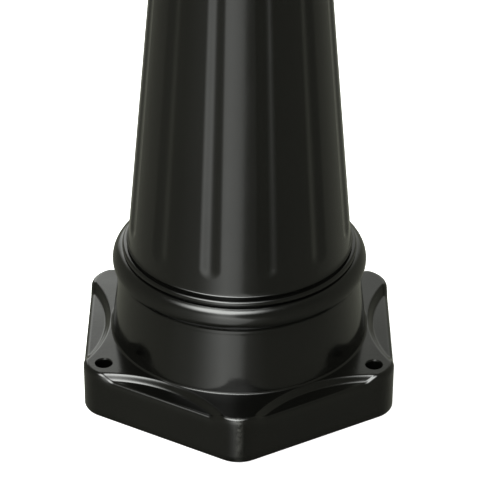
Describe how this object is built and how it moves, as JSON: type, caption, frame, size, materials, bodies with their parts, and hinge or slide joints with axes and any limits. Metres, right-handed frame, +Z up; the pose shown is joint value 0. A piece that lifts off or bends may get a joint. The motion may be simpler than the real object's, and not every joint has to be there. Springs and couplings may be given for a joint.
{
  "type": "street clock",
  "caption": "Street clock on a slender post: hexagonal cast foot with anchor holes, fluted tapering column, moulded pole, and a glazed round head with hinged doors.",
  "frame": {"origin": "centre of the foot's underside, on the ground", "axes": "+Z up the post; the front dial and one corner of the hexagonal foot face -Y; +X is the front viewer's right"},
  "size_m": [0.454, 0.2246, 2.2993],
  "materials": {
    "painted_casting": "gloss black paint over cast metal",
    "plated_steel": "zinc plated",
    "brass": "satin",
    "ivory_dial": "baked ivory enamel",
    "black_hand": "satin black",
    "clear_glass": "clear float glass",
    "black_rubber": "matt",
    "grey_plastic": "moulded"
  },
  "bodies": {
    "clock": {"foot_casting": "painted_casting", "column_casting": "painted_casting", "cone_collar": "painted_casting", "lower_pole": "painted_casting", "middle_collar": "painted_casting", "upper_pole": "painted_casting", "capital": "painted_casting", "head_saddle": "painted_casting", "scroll_left": "painted_casting", "scroll_right": "painted_casting", "case_ring": "painted_casting", "finial_base": "painted_casting", "finial": "painted_casting", "tie_tube": "plated_steel", "foot_washer": "plated_steel", "foot_nut": "plated_steel", "head_clamp": "plated_steel", "head_nut": "plated_steel", "cable_gland": "black_rubber", "front_dial": "ivory_dial", "front_dial_nut": "brass", "front_movement_plate": "brass", "front_movement_case": "grey_plastic", "front_motor": "grey_plastic", "front_wheel_post": "plated_steel", "front_hinge_leaf": "painted_casting", "front_hinge_pin": "plated_steel", "front_latch_lug": "painted_casting", "back_dial": "ivory_dial", "back_dial_nut": "brass", "back_movement_plate": "brass", "back_movement_case": "grey_plastic", "back_motor": "grey_plastic", "back_wheel_post": "plated_steel", "back_hinge_leaf": "painted_casting", "back_hinge_pin": "plated_steel", "back_latch_lug": "painted_casting"},
    "front_door": {"front_bezel": "painted_casting", "front_glass": "clear_glass", "front_glass_gasket": "black_rubber"},
    "front_thumb_screw": {"front_thumb_screw": "brass"},
    "front_minute_hand": {"front_minute_arbor": "brass", "front_minute_hand": "black_hand", "front_hand_nut": "brass"},
    "front_minute_wheel": {"front_minute_wheel": "brass"},
    "front_hour_hand": {"front_hour_wheel": "brass", "front_hour_hand": "black_hand"},
    "back_door": {"back_bezel": "painted_casting", "back_glass": "clear_glass", "back_glass_gasket": "black_rubber"},
    "back_thumb_screw": {"back_thumb_screw": "brass"},
    "back_minute_hand": {"back_minute_arbor": "brass", "back_minute_hand": "black_hand", "back_hand_nut": "brass"},
    "back_minute_wheel": {"back_minute_wheel": "brass"},
    "back_hour_hand": {"back_hour_wheel": "brass", "back_hour_hand": "black_hand"}
  },
  "joints": [
    {"name": "front_door_hinge", "type": "hinge", "parent": "clock", "child": "front_door", "pos_m": [0.219, -0.0455, 1.94], "axis": [0, 0, 1], "range_deg": [0, 110]},
    {"name": "front_thumb_screw_slide", "type": "slide", "parent": "front_door", "child": "front_thumb_screw", "axis": [0, -1, 0], "range_m": [0, 0.008]},
    {"name": "front_minute_turn", "type": "hinge", "parent": "clock", "child": "front_minute_hand", "pos_m": [0, -0.03, 1.94], "axis": [0, 1, 0], "continuous": true},
    {"name": "front_minute_wheel_turn", "type": "hinge", "parent": "clock", "child": "front_minute_wheel", "pos_m": [0, -0.026, 1.96], "axis": [0, 1, 0], "continuous": true},
    {"name": "front_hour_turn", "type": "hinge", "parent": "clock", "child": "front_hour_hand", "pos_m": [0, -0.036, 1.94], "axis": [0, 1, 0], "continuous": true},
    {"name": "back_door_hinge", "type": "hinge", "parent": "clock", "child": "back_door", "pos_m": [-0.219, 0.0455, 1.94], "axis": [0, 0, 1], "range_deg": [0, 110]},
    {"name": "back_thumb_screw_slide", "type": "slide", "parent": "back_door", "child": "back_thumb_screw", "axis": [0, 1, 0], "range_m": [0, 0.008]},
    {"name": "back_minute_turn", "type": "hinge", "parent": "clock", "child": "back_minute_hand", "pos_m": [0, 0.03, 1.94], "axis": [0, -1, 0], "continuous": true},
    {"name": "back_minute_wheel_turn", "type": "hinge", "parent": "clock", "child": "back_minute_wheel", "pos_m": [0, 0.026, 1.96], "axis": [0, -1, 0], "continuous": true},
    {"name": "back_hour_turn", "type": "hinge", "parent": "clock", "child": "back_hour_hand", "pos_m": [0, 0.036, 1.94], "axis": [0, -1, 0], "continuous": true}
  ],
  "couplings": [
    {"joint": "front_minute_wheel_turn", "follows": "front_minute_turn", "ratio": -0.33333},
    {"joint": "front_hour_turn", "follows": "front_minute_turn", "ratio": 0.083333},
    {"joint": "back_minute_wheel_turn", "follows": "back_minute_turn", "ratio": -0.33333},
    {"joint": "back_hour_turn", "follows": "back_minute_turn", "ratio": 0.083333}
  ]
}
